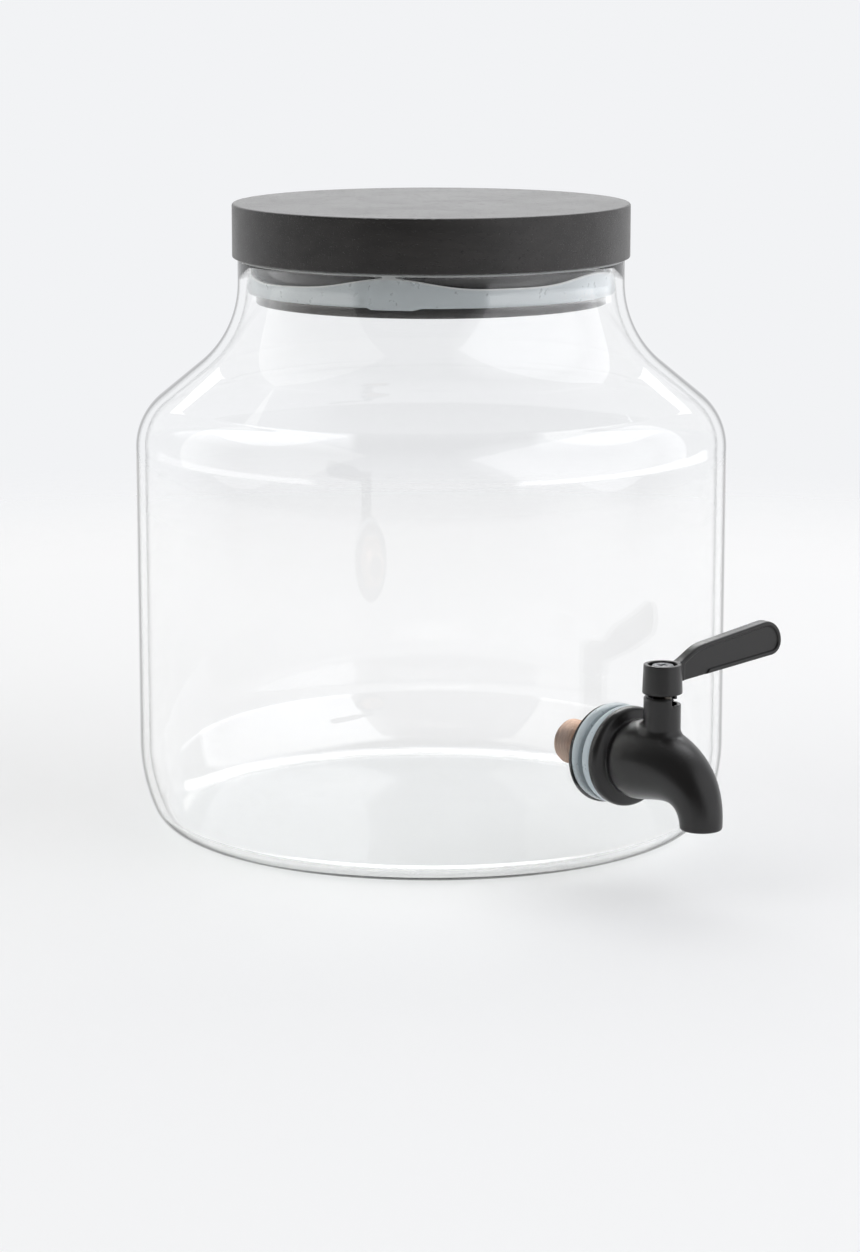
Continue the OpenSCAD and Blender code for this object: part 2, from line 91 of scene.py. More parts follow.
def tint(name, text, code):
    """A colour, with its default as an sRGB hex code."""
    return FloatVectorProperty(
        name=name, description=text, default=srgb(code), subtype="COLOR", size=3, min=0, max=1)


class JarSettings(bpy.types.PropertyGroup):
    """Sizes and colour of the glass"""
    body_radius: length("Body radius", "Outside radius of the straight wall", GLASS_TOP.x, 0.1, 0.12)
    neck_radius: length("Neck radius", "Outside radius of the neck", 70.7 * MM, 0.069, 0.073)
    height: length("Height", "From the foot to the rim", GLASS_TOP.z, 0.205, 0.216)
    wall: length("Wall", "Thickness of the glass", 3.2 * MM, 0.0028, 0.0036)
    glass: tint("Glass", "Colour that thick glass turns light", "#dfeee9")


class LidSettings(bpy.types.PropertyGroup):
    """Edges, stain and seal of the lid"""
    edge: length("Edge", "Radius of the disc's upper edge", 0.9 * MM, 0.0005, 0.003)
    under_edge: length("Under edge", "Radius of the disc's lower edge", 0.5 * MM, 0.0003, 0.001)
    stain: tint("Stain", "Colour of the stained wood", "#201e1d")
    pore: tint("Pores", "Colour of the open pores", "#0b0a0a")
    seal: tint("Seal", "Colour of the silicone seal", "#dce3e6")
    # Painted highlight colour of the lip's thin edge.
    seal_edge_highlight: tint("Seal edge", "Colour of the lip's thin edge", "#f2f4f4")
    wave: length("Wave", "Rise and fall of the seal's lip", 1.8 * MM, 0, 0.002)


class TapSettings(bpy.types.PropertyGroup):
    """Finish of the tap, and its thread"""
    coat: tint("Coat", "Colour of the powder coat", "#161515")
    copper: tint("Shank", "Colour of the coppered thread", "#b39886")
    washer: tint("Washers", "Colour of the silicone washers", "#d0dce3")
    pitch: length("Pitch", "Pitch of the shank's thread", 1.5 * MM, 0.001, 0.002)
    grain: length("Grain", "Voxel that the cast pieces are blended at", 0.32 * MM, 0.0002, 0.0006)


class LeverSettings(bpy.types.PropertyGroup):
    """Sizes of the lever's blade"""
    reach: length("Reach", "From the stem's axis to the tip", 54.05 * MM, 0.048, 0.06)
    thickness: length("Thickness", "Thickness of the blade", 4.6 * MM, 0.004, 0.0055)
    rim: length("Rim", "Width of the raised rim", 1.5 * MM, 0.0012, 0.002)
    panel: length("Panel", "Depth of the panel inside the rim", 0.75 * MM, 0.0003, 0.0009)


class StageSettings(bpy.types.PropertyGroup):
    """Backdrop, lens and fineness of the turned pieces"""
    ground: tint("Ground", "Colour of the floor and the backdrop", "#f2f3f5")
    focal: FloatProperty(
        name="Lens", description="Focal length", default=106.3, min=50, max=200, unit="CAMERA")
    sides: IntProperty(
        name="Sides", description="Facets round a turned piece", default=256, min=64, max=512)


# ---- mesh tools ----

def linked(name, data):
    """Object that holds data, in the scene."""
    thing = bpy.data.objects.new(name, data)
    bpy.context.scene.collection.objects.link(thing)
    return thing


def around(sides):
    """Angles of the points of a ring."""
    return [tau * i / sides for i in range(sides)]


def skin(name, rings, loop=False, crease=32):
    """Object from rings of points. A ring of one point is a pole.

    A loop joins the last ring to the first.
    """
    mesh = bmesh.new()
    made = [[mesh.verts.new(point) for point in ring] for ring in rings]
    pairs = list(zip(made, made[1:])) + ([(made[-1], made[0])] if loop else [])
    for low, high in pairs:
        for i in range(max(len(low), len(high))):
            corners = (low[i % len(low)], low[(i + 1) % len(low)],
                       high[(i + 1) % len(high)], high[i % len(high)])
            mesh.faces.new(list(dict.fromkeys(corners)))
    if not loop:
        for end in (made[0], made[-1]):
            if len(end) > 2:
                mesh.faces.new(end)
    bmesh.ops.recalc_face_normals(mesh, faces=mesh.faces)
    data = bpy.data.meshes.new(name)
    mesh.to_mesh(data)
    mesh.free()
    piece = linked(name, data)
    shade(piece, crease)
    return piece


def shade(piece, crease):
    """Smooth shading, with edges sharper than the crease angle left crisp."""
    piece.data.shade_smooth()
    piece.data.set_sharp_from_angle(angle=radians(crease))


def turned(name, section, sides, place=Matrix(), crease=32):
    """A section of (radius, height) points turned round the local Z axis.

    One that starts on the axis is a solid.
    """
    rings = [
        [place @ Vector((0, 0, z))] if r < 1e-9
        else [place @ Vector((r * cos(a), r * sin(a), z)) for a in around(sides)]
        for r, z in section
    ]
    return skin(name, rings, loop=section[0][0] > 1e-9, crease=crease)


def settle(piece):
    """Applies the modifiers of a piece to its mesh."""
    shape = piece.evaluated_get(bpy.context.evaluated_depsgraph_get())
    data = bpy.data.meshes.new_from_object(shape)
    piece.modifiers.clear()
    piece.data = data


def join(piece, other, how):
    """Adds the other piece to this one, or cuts it out of it, and drops the other."""
    step = piece.modifiers.new(how, "BOOLEAN")
    step.operation = how
    step.solver = "MANIFOLD"
    step.object = other
    settle(piece)
    bpy.data.objects.remove(other)


def melt(piece, voxel, passes):
    """Runs the edges of a cast piece together, as the mould and the coat of powder do."""
    grid = piece.modifiers.new("Grid", "REMESH")
    grid.mode = "VOXEL"
    grid.voxel_size = voxel
    smooth = piece.modifiers.new("Smooth", "SMOOTH")
    smooth.factor = 0.5
    smooth.iterations = passes
    settle(piece)
    piece.data.shade_smooth()


def arc(centre, radius, start, end, steps):
    """Points of a circular arc, from start to end in degrees."""
    angles = [radians(start + (end - start) * i / steps) for i in range(steps + 1)]
    return [(centre[0] + radius * cos(a), centre[1] + radius * sin(a)) for a in angles]


def sector(inner, outer, low, high, start, end, steps, y=0):
    """Rings of a sector of a pipe about an axis at y, from start to end in degrees."""
    rings = []
    for i in range(steps + 1):
        a = radians(start + (end - start) * i / steps)
        rings.append([(r * cos(a), y + r * sin(a), z)
                      for r, z in ((inner, low), (outer, low), (outer, high), (inner, high))])
    return rings


def bore(radius, low, high):
    """Section of a plain round bore or pin."""
    return [(0, low), (radius, low), (radius, high), (0, high)]


def bezier(points, u):
    """Point at u on a cubic curve, for plain numbers or vectors."""
    a, b, c, d = points
    return a * (1 - u) ** 3 + b * 3 * u * (1 - u) ** 2 + c * 3 * u * u * (1 - u) + d * u ** 3


def bezier_slope(points, u):
    """Direction of that curve at u, unscaled."""
    a, b, c, d = points
    return (b - a) * (1 - u) ** 2 + (c - b) * 2 * u * (1 - u) + (d - c) * u * u


def along_tap(distance):
    """Places a piece on the tap's axis: its +Z runs outwards and its +Y is up."""
    return Matrix.Translation((0, -distance, TAP_Z)) @ Matrix.Rotation(pi / 2, 4, "X")


# ---- surfaces ----

def add(tree, kind, feeds=(), **settings):
    """Adds a shader node. Feeds pairs its sockets with values, outputs, or nodes' first outputs."""
    node = tree.nodes.new("ShaderNode" + kind)
    for key, value in settings.items():
        setattr(node, key, value)
    for socket, value in dict(feeds).items():
        if isinstance(value, bpy.types.Node):
            value = value.outputs[0]
        if isinstance(value, bpy.types.NodeSocket):
            tree.links.new(value, node.inputs[socket])
        else:
            node.inputs[socket].default_value = value
    return node


def blank(name):
    """An empty material and its node tree."""
    material = bpy.data.materials.new(name)
    material.use_nodes = True
    material.node_tree.nodes.clear()
    return material, material.node_tree


def rgba(colour):
    """A colour as a socket takes it, opaque."""
    return (*colour, 1)


def per(size):
    """Texture scale at which one cell of a pattern is as large as size, in metres."""
    return 1 / size


def blown_soda_glass(jar):
    """Clear blown glass: it shows what is behind it, and a painted shade darkens its outline where it
    turns away.
    """
    material, tree = blank("blown_soda_glass")
    # Painted shade: the glass's colour turns dark where its surface turns away, drawing its outline;
    # rays seen through the glass keep it clear.
    tilt = add(tree, "LayerWeight", {"Blend": 0.5})
    outline = add(tree, "MapRange", {
        "Value": tilt.outputs["Facing"],
        "From Min": 0.82, "From Max": 0.88, "To Min": 1.0, "To Max": 0.0})
    path = add(tree, "LightPath")
    body = add(tree, "Math", {0: outline, 1: path.outputs["Is Transmission Ray"]}, operation="MAXIMUM")
    glass = add(tree, "BsdfPrincipled", {
        "Base Color": body, "Roughness": 0.0, "IOR": 1.5, "Transmission Weight": 1.0})
    clear = add(tree, "BsdfTransparent", {"Color": rgba(srgb("#fcfdfd"))})
    lit = add(tree, "MixShader", {0: path.outputs["Is Shadow Ray"], 1: glass, 2: clear})
    depth = add(tree, "VolumeAbsorption", {"Color": rgba(jar.glass), "Density": 3.0})
    add(tree, "OutputMaterial", {"Surface": lit, "Volume": depth})
    return material


def rim_highlight_glass():
    """Pale band on the rim's top, drawn as frosted glass: its near-white colour is a painted highlight,
    the bright line under the lid.

    The frost is drawn 0.8 mm wide, coarser than the real grit.
    """
    material, tree = blank("rim_highlight_glass")
    here = add(tree, "TexCoord").outputs["Object"]
    frost = add(tree, "TexNoise", {"Vector": here, "Scale": per(0.8 * MM), "Detail": 2.0})
    rough = add(tree, "MapRange", {"Value": frost, "To Min": 0.3, "To Max": 0.6})
    rim = add(tree, "BsdfPrincipled", {
        "Base Color": rgba(srgb("#f8fafa")), "Roughness": rough, "IOR": 1.5,
        "Transmission Weight": 0.2})
    add(tree, "OutputMaterial", {"Surface": rim})
    return material


def stained_ash(name, lid, polish):
    """Planed ash, stained black and waxed: fine open pores run with the grain and catch the light.

    The pores are drawn 0.5 mm wide and 4 mm long, a little coarser than ash has them.
    """
    material, tree = blank(name)
    here = add(tree, "TexCoord").outputs["Object"]
    turn = add(tree, "Mapping", {"Vector": here, "Rotation": (0, 0, -radians(GRAIN_HEADING))})
    stretch = add(tree, "Mapping", {"Vector": turn, "Scale": (1 / 8, 1, 1)})
    pores = add(tree, "TexNoise", {
        "Vector": stretch, "Scale": per(0.5 * MM), "Detail": 3.0, "Roughness": 0.65})
    open_pore = add(tree, "MapRange", {
        "Value": pores, "From Min": 0.60, "From Max": 0.70}, interpolation_type="SMOOTHSTEP")
    year = add(tree, "TexNoise", {
        "Vector": stretch, "Scale": per(5 * MM), "Detail": 3.0, "Roughness": 0.55})
    patch = add(tree, "TexNoise", {"Vector": turn, "Scale": per(22 * MM), "Detail": 2.0})
    pale = add(tree, "MapRange", {
        "Value": year, "From Min": 0.3, "From Max": 0.7, "To Min": 0.75, "To Max": 1.35})
    wood = add(tree, "VectorMath", {0: lid.stain, "Scale": pale}, operation="SCALE")
    colour = add(tree, "Mix", {"Factor": open_pore, "A": wood, "B": rgba(lid.pore)}, data_type="RGBA")
    dull = add(tree, "MapRange", {
        "Value": patch, "From Min": 0.35, "From Max": 0.65, "To Min": 0.40, "To Max": 0.48})
    relief = add(tree, "Bump", {
        "Height": open_pore, "Distance": 0.2 * MM, "Strength": 1.0}, invert=True)
    wax = add(tree, "BsdfPrincipled", {
        "Base Color": colour.outputs["Result"], "Roughness": dull, "IOR": 1.5,
        "Coat Weight": polish, "Coat Roughness": 0.12, "Coat IOR": 1.6,
        "Sheen Weight": 0.28, "Sheen Roughness": 0.35, "Normal": relief})
    add(tree, "OutputMaterial", {"Surface": wax})
    return material


def moulded_silicone(name, colour, milk, cloud):
    """Moulded silicone: milky, so light soaks in and its edges stay soft, with a faint skin gloss."""
    material, tree = blank(name)
    here = add(tree, "TexCoord").outputs["Object"]
    mottle = add(tree, "TexNoise", {"Vector": here, "Scale": per(cloud), "Detail": 2.0})
    rough = add(tree, "MapRange", {"Value": mottle, "To Min": 0.22, "To Max": 0.38})
    rubber = add(tree, "BsdfPrincipled", {
        "Base Color": rgba(colour), "Roughness": rough, "IOR": 1.41,
        "Transmission Weight": 1 - milk})
    add(tree, "OutputMaterial", {"Surface": rubber})
    return material


def powder_coated_zinc(tap):
    """Die-cast zinc under a satin black powder coat: a fine orange peel breaks up the highlights."""
    material, tree = blank("powder_coated_zinc")
    here = add(tree, "TexCoord").outputs["Object"]
    peel = add(tree, "TexNoise", {
        "Vector": here, "Scale": per(0.5 * MM), "Detail": 2.0, "Roughness": 0.5})
    cloud = add(tree, "TexNoise", {"Vector": here, "Scale": per(9 * MM), "Detail": 3.0})
    sheen = add(tree, "MapRange", {
        "Value": cloud, "From Min": 0.3, "From Max": 0.7, "To Min": 0.28, "To Max": 0.36})
    relief = add(tree, "Bump", {"Height": peel, "Distance": 0.05 * MM, "Strength": 0.6})
    coat = add(tree, "BsdfPrincipled", {
        "Base Color": rgba(tap.coat), "Roughness": sheen, "IOR": 1.5, "Normal": relief})
    add(tree, "OutputMaterial", {"Surface": coat})
    return material


def turned_metal(name, colour, roughness, wear):
    """Bare or plated metal, turned or pressed: tool marks vary its gloss.

    The marks are drawn as wide as wear, several times coarser than a lathe leaves them.
    """
    material, tree = blank(name)
    here = add(tree, "TexCoord").outputs["Object"]
    marks = add(tree, "TexNoise", {"Vector": here, "Scale": per(wear), "Detail": 4.0})
    rough = add(tree, "MapRange", {
        "Value": marks, "From Min": 0.3, "From Max": 0.7,
        "To Min": roughness - 0.06, "To Max": roughness + 0.08})
    plate = add(tree, "BsdfPrincipled", {
        "Base Color": rgba(colour), "Metallic": 1.0, "Roughness": rough})
    add(tree, "OutputMaterial", {"Surface": plate})
    return material


def moulded_polymer(name, colour, roughness, speck):
    """Moulded rubber or skived PTFE: a matt skin with a mottle of the size speck."""
    material, tree = blank(name)
    here = add(tree, "TexCoord").outputs["Object"]
    mottle = add(tree, "TexNoise", {"Vector": here, "Scale": per(speck), "Detail": 3.0})
    relief = add(tree, "Bump", {"Height": mottle, "Distance": 0.02 * MM, "Strength": 0.4})
    body = add(tree, "BsdfPrincipled", {
        "Base Color": rgba(colour), "Roughness": roughness, "Normal": relief})
    add(tree, "OutputMaterial", {"Surface": body})
    return material


def place_piece(piece, body, slot, material, *nodes):
    """Dresses a piece, lets it ride on its body and hides the CAD nodes that it stands for."""
    piece.data.materials.clear()
    piece.data.materials.append(material)
    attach(piece, body)
    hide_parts(*nodes)


def finish_faces(piece, material, chosen):
    """Gives the faces that are chosen by their middle a second finish."""
    piece.data.materials.append(material)
    for face in piece.data.polygons:
        if chosen(face.center):
            face.material_index = 1


def dress_node(name, material, bevel=0.0):
    """Gives a CAD node that is shown as it is its finish, and breaks its sharp edges."""
    node = frame["nodes"][name]
    node.data.materials.clear()
    node.data.materials.append(material)
    for face in node.data.polygons:
        face.material_index = 0
    if bevel:
        edge = node.modifiers.new("Edge", "BEVEL")
        edge.width = bevel
        edge.segments = 2
        edge.limit_method = "ANGLE"
        edge.angle_limit = radians(40)


# ---- the glass ----

HEEL_Z = 31.4 * MM           # height below which the wall draws in to the foot
HEEL_SWEEP = 62.6 * MM       # long curve of the heel
HEEL_CORNER = 12.4 * MM      # corner between the heel and the foot
SHOULDER_Z = 141.2 * MM      # height at which the wall bends in to the shoulder
SHOULDER_ANGLE = 90 - 39.3   # degrees turned from the wall to the slope of the shoulder
SHOULDER_BEND = 23.3 * MM
NECK_SWEEP = 38.8 * MM       # radius of the sweep from the shoulder up to the neck
BASE = 3.4 * MM              # thickness of the glass under the contents
FOOT_RING = 4 * MM           # width of the flat ring that the jar stands on
PUNT = 2.4 * MM              # rise of the push-up inside the foot ring
RIM_HIGHLIGHT_BAND = 0.8 * MM        # how far down the rim the painted highlight band reaches
TAP_HOLE = 8.5 * MM          # radius of the hole in the wall
DRILL_START = 4 * MM         # how far inside the wall its cutter starts
DRILL_LENGTH = 12 * MM


def heel(radius, sweep, corner, low, steps):
    """One skin of the heel, from the flat at the height low up to the straight wall."""
    angle = -degrees(asin((HEEL_Z - low - corner) / (sweep - corner)))
    hub = (radius - sweep, HEEL_Z)
    centre = arc(hub, sweep - corner, angle, angle, 1)[0]
    return arc(centre, corner, -90, angle, steps) + arc(hub, sweep, angle, 0, steps)[1:]


def shoulder(jar, inset, steps):
    """One skin of the shoulder and neck, the outer one or one inset from it."""
    turn = radians(SHOULDER_ANGLE)
    bend = (jar.body_radius - SHOULDER_BEND, SHOULDER_Z)
    drop = (bend[0] + SHOULDER_BEND * cos(turn)
            - jar.neck_radius - NECK_SWEEP * (1 - cos(turn)))
    slope = drop / sin(turn)
    neck_z = SHOULDER_Z + (SHOULDER_BEND + NECK_SWEEP) * sin(turn) + slope * cos(turn)
    neck = (jar.neck_radius + NECK_SWEEP, neck_z)
    return (arc(bend, SHOULDER_BEND - inset, 0, SHOULDER_ANGLE, steps)
            + arc(neck, NECK_SWEEP + inset, 180 + SHOULDER_ANGLE, 180, steps))


def jar_section(jar):
    """Half section of the glass: foot, outer skin, rim, inner skin and floor."""
    outer = heel(jar.body_radius, HEEL_SWEEP, HEEL_CORNER, 0, 16)
    inner = heel(
        jar.body_radius - jar.wall, HEEL_SWEEP - jar.wall, HEEL_CORNER - jar.wall, BASE, 16)
    foot_in = outer[0][0] - FOOT_RING
    floor_r = inner[0][0]
    steps = 32
    push_up = [PUNT * (1 + cos(pi * i / steps)) / 2 for i in range(steps)]
    punt = [(foot_in * i / steps, push_up[i]) for i in range(steps)]
    floor = [(floor_r * i / steps, BASE + push_up[i]) for i in range(steps)]
    rim = (jar.neck_radius - jar.wall / 2, jar.height - jar.wall / 2)
    return (punt + [(foot_in, 0)] + outer + shoulder(jar, 0, 24)
            + arc(rim, jar.wall / 2, 0, 180, 12)
            + shoulder(jar, jar.wall, 24)[::-1] + inner[::-1] + floor[::-1])


class JAR_OT_glass(bpy.types.Operator):
    """Makes the blown glass jar with the hole for the tap"""
    bl_idname = "jar.glass"
    bl_label = "Glass"

    def execute(self, context):
        jar = context.scene.jar_glass
        glass = turned("jar_glass", jar_section(jar), context.scene.jar_stage.sides)
        inside = jar.body_radius - jar.wall
        drill = turned(
            "drill", bore(TAP_HOLE, 0, DRILL_LENGTH), 96, along_tap(inside - DRILL_START))
        join(glass, drill, "DIFFERENCE")
        shade(glass, 32)
        place_piece(glass, "jar", "clear_glass", blown_soda_glass(jar), "glass_jar")
        # The rim's top gets the pale band: a painted highlight.
        finish_faces(glass, rim_highlight_glass(), lambda middle: middle.z > jar.height - RIM_HIGHLIGHT_BAND)
        return {"FINISHED"}


# ---- the lid ----

GRAIN_HEADING = -38          # degrees from +X to the run of the grain
SEAL_GROOVE = 2.4 * MM       # depth of the groove in the plug
GROOVE_HEIGHT = 5.4 * MM     # over the seal's foot
GROOVE_PLAY = 0.02 * MM      # under it
ROOT_PLAY = 0.05 * MM        # between the seal's root and the groove's bottom
LIP_RISES = ((5, 1.0, 9), (3, 0.33, -19), (10, 0.24, 36))   # waves round, share, lag in degrees
LIP_SWAY = 1.5               # most that the rises come to together
LIP_EDGE = (0.45 * MM, 1.25 * MM)  # height and width of the lip's thin edge, which is painted paler as a highlight
SEAL_TAB = 0.75 * MM         # how far the pull tab hangs down
SEAL_TAB_HEADING = -139.5    # degrees from +X
SEAL_TAB_HALF = 8.2          # degrees from its middle to its end
SEAL_TAB_RAMP = 1.6          # of which so many rise to the seal's foot


def eased_disc(radius, low, high, under, over, steps=10):
    """Section of a disc with its lower and upper edges eased by their own radii."""
    return ([(0, low)] + arc((radius - under, low + under), under, -90, 0, steps)
            + arc((radius - over, high - over), over, 0, 90, steps) + [(0, high)])


def seal_rings(lid, sides):
    """Section of the seal at each angle: a root in the groove, and a lip whose edge rises and falls."""
    plug = PLUG_HIGH.x
    low = SEAL_LOW.z
    lip = SEAL_HIGH.x
    tall = SEAL_HIGH.z - low - LIP_SWAY * lid.wave
    root = plug - SEAL_GROOVE + ROOT_PLAY
    # Radius, height over the foot, share of the lip's wave, and share of the tab.
    section = [
        (root, 0.05 * MM, 0, 0), (plug + 0.3 * MM, 0.05 * MM, 0, 0), (lip - 1.2 * MM, 0.15 * MM, 0, 1),
        (lip - 0.7 * MM, 0.4 * MM, 0, 1), (lip - 0.3 * MM, 1.1 * MM, 0, 0.8), (lip, 2.6 * MM, 0.1, 0),
        (lip, 4.2 * MM, 0.4, 0), (lip, tall - 2 * MM, 0.9, 0), (lip - 0.05 * MM, tall - 0.5 * MM, 1, 0),
        (lip - 0.35 * MM, tall - 0.05 * MM, 1, 0), (lip - 0.9 * MM, tall - 0.05 * MM, 1, 0),
        (lip - 1.2 * MM, tall - 0.4 * MM, 1, 0), (lip - 1.3 * MM, 4.8 * MM, 0.4, 0),
        (plug + 0.9 * MM, 3.4 * MM, 0, 0), (plug + 0.5 * MM, 5.3 * MM, 0, 0), (root, 5.3 * MM, 0, 0)
    ]
    return [
        [(radius * cos(a), radius * sin(a),
          low + rise + lift * lip_wave(lid, a) - drop * SEAL_TAB * seal_tab(a))
         for a in around(sides)]
        for radius, rise, lift, drop in section
    ]


def lip_wave(lid, angle):
    """How far the lip's edge stands above its middle height, in five uneven rises."""
    return lid.wave * sum(share * cos(count * angle - radians(lag)) for count, share, lag in LIP_RISES)


def on_lip_highlight(lid, point):
    """Whether a point of the seal lies on the thin edge of its lip, which gets the painted highlight.
    """
    edge = SEAL_HIGH.z - LIP_SWAY * lid.wave + lip_wave(lid, atan2(point.y, point.x))
    return point.z > edge - LIP_EDGE[0] and point.xy.length > SEAL_HIGH.x - LIP_EDGE[1]


def seal_tab(angle):
    """The short pull tab under the seal's foot, from 0 beside it to 1 on it."""
    off = degrees(remainder(angle - radians(SEAL_TAB_HEADING), tau))
    return min(max((SEAL_TAB_HALF - abs(off)) / SEAL_TAB_RAMP, 0), 1)


class JAR_OT_lid(bpy.types.Operator):
    """Turns the wooden disc and the plug under it"""
    bl_idname = "jar.lid"
    bl_label = "Wooden lid"

    def execute(self, context):
        lid = context.scene.jar_lid
        sides = context.scene.jar_stage.sides
        section = eased_disc(DISC_HIGH.x, DISC_LOW.z, DISC_HIGH.z, lid.under_edge, lid.edge)
        disc = turned("lid_top", section, sides)
        place_piece(disc, "lid", "stained_wood", stained_ash("waxed_ash", lid, 0.0), "lid_disc")
        r = PLUG_HIGH.x
        low, high = SEAL_LOW.z - GROOVE_PLAY, SEAL_LOW.z + GROOVE_HEIGHT
        ease = 0.5 * MM
        section = ([(0, PLUG_LOW.z)] + arc((r - ease, PLUG_LOW.z + ease), ease, -90, 0, 4)
                   + [(r, low), (r - SEAL_GROOVE, low), (r - SEAL_GROOVE, high), (r, high),
                      (r, PLUG_HIGH.z), (0, PLUG_HIGH.z)])
        plug = turned("plug", section, sides)
        place_piece(plug, "lid", "stained_wood", stained_ash("lacquered_ash", lid, 1.0), "lid_plug")
        return {"FINISHED"}


class JAR_OT_seal(bpy.types.Operator):
    """Moulds the silicone seal with its wavy lip"""
    bl_idname = "jar.seal"
    bl_label = "Seal"

    def execute(self, context):
        lid = context.scene.jar_lid
        seal = skin("seal_ring", seal_rings(lid, context.scene.jar_stage.sides), loop=True)
        silicone = moulded_silicone("moulded_clear_silicone", lid.seal, 0.75, 3 * MM)
        place_piece(seal, "lid", "clear_silicone", silicone, "lid_seal")
        # Painted highlight: the lip's thin edge gets a paler, milkier silicone, for the bright line
        # along its top.
        edge = moulded_silicone("lip_highlight_silicone", lid.seal_edge_highlight, 0.9, 3 * MM)
        finish_faces(seal, edge, lambda middle: on_lip_highlight(lid, middle))
        return {"FINISHED"}


# ---- the tap ----

STEM_S = -HUB_PIVOT.y        # distance from the jar's axis to the stem's
FLANGE_S = STEM_S - 18.7 * MM
FLANGE_T = 5.1 * MM
FLANGE_R = 17.7 * MM
FLANGE_ROUND = 1.9 * MM      # radius of the flange's front edge
BARREL_S = FLANGE_S + FLANGE_T
GROOVE_R = 12.6 * MM         # bottom of the groove between flange and barrel
SOCKET_R = 8.05 * MM         # bore that the shank is screwed into
SOCKET_DEPTH = 8 * MM
MOUTH_REACH = 20.7 * MM      # from the stem's axis to the mouth's
MOUTH_Y = -19 * MM           # mouth's end, over the tap's axis
MOUTH_R = 7.4 * MM
MOUTH_BORE = 5.5 * MM
MOUTH_DEPTH = 9 * MM
MOUTH_POINT = 1 * MM         # depth of the cone that the drill leaves at its end
LIP_R = 0.9 * MM             # rounding of the mouth's rim
STEM_R = 6.5 * MM
HUB_GAP = 1 * MM             # between the stem's rim and the lever's hub
STEM_Z = HUB_PIVOT.z - HUB_GAP
STEM_EDGE = 0.4 * MM
VALVE_R = 5 * MM
VALVE_DEPTH = 10 * MM        # of its bore, under the tap's axis
FILLET = 3 * MM              # spread of the saddle between stem and barrel
NOTCH = 2.6 * MM             # depth of the stop notch
NOTCH_ENDS = (-99, 9)        # degrees from +X
PORT_R = 2.8 * MM
PORT_PAST = 7 * MM           # how far the port runs past the stem's axis
FALL_START = 6.5 * MM        # past that axis, where the way down to the mouth begins
FALL_DROP = 12 * MM
RING_Z = STEM_Z - 6.9 * MM   # groove of the retaining ring
RING_SIZE = (0.6 * MM, 1.1 * MM)
# Spine of the barrel and spout: distance from the jar's axis and height over the tap's, then radii.
SPINE = [Vector((BARREL_S, 0)), Vector((BARREL_S + 2.5 * MM, 0)),
         Vector((STEM_S + MOUTH_REACH, 5 * MM)), Vector((STEM_S + MOUTH_REACH, MOUTH_Y + LIP_R))]
SPINE_R = [13.3 * MM, 16.4 * MM, 8.7 * MM, MOUTH_R]


def spout_ring(u, roll, sides):
    """Ring of the barrel and spout at u along its spine. Roll, in degrees, takes it round the lip."""
    heading = bezier_slope(SPINE, u).normalized()
    centre = bezier(SPINE, u) + heading * LIP_R * sin(radians(roll))
    radius = bezier(SPINE_R, u) - LIP_R * (1 - cos(radians(roll)))
    ring = []
    for a in around(sides):
        out = radius * sin(a)
        ring.append((radius * cos(a), -(centre.x - out * heading.y),
                     TAP_Z + centre.y + out * heading.x))
    return ring


def spine_at(distance):
    """Where the spine reaches a distance from the jar's axis, by halving."""
    low, high = 0.0, 1.0
    for _ in range(30):
        middle = (low + high) / 2
        if bezier(SPINE, middle).x < distance:
            low = middle
        else:
            high = middle
    return (low + high) / 2


def barrel_top(x, distance):
    """Height of the barrel's back at x beside the axis and at a distance from the jar's axis."""
    u = spine_at(distance)
    slope = bezier_slope(SPINE, u)
    radius = bezier(SPINE_R, u)
    rise = sqrt(max(radius ** 2 - x ** 2, 0))
    return TAP_Z + bezier(SPINE, u).y + rise * slope.length / slope.x


def fillet_rings(sides, steps):
    """Saddle from the stem's side out to the barrel's back, and down inside."""
    rings = [[] for _ in range(steps + 3)]
    sunk = 0.25 * MM
    for a in around(sides):
        side, front = cos(a), -sin(a)
        wide = STEM_R + FILLET
        inner = barrel_top(STEM_R * side, STEM_S + STEM_R * front)
        foot = barrel_top(wide * side, STEM_S + wide * front)
        curve = [Vector((STEM_R - sunk, inner + 0.9 * FILLET)),
                 Vector((STEM_R, inner + 0.2 * FILLET)),
                 Vector((STEM_R + 0.45 * FILLET, (inner + foot) / 2 + sunk)),
                 Vector((wide, foot - sunk))]
        path = [bezier(curve, k / steps) for k in range(steps + 1)]
        path = [Vector((3 * MM, path[0].y))] + path + [Vector((4 * MM, TAP_Z))]
        for ring, point in zip(rings, path):
            ring.append((point.x * side, -STEM_S - point.x * front, point.y))
    return rings


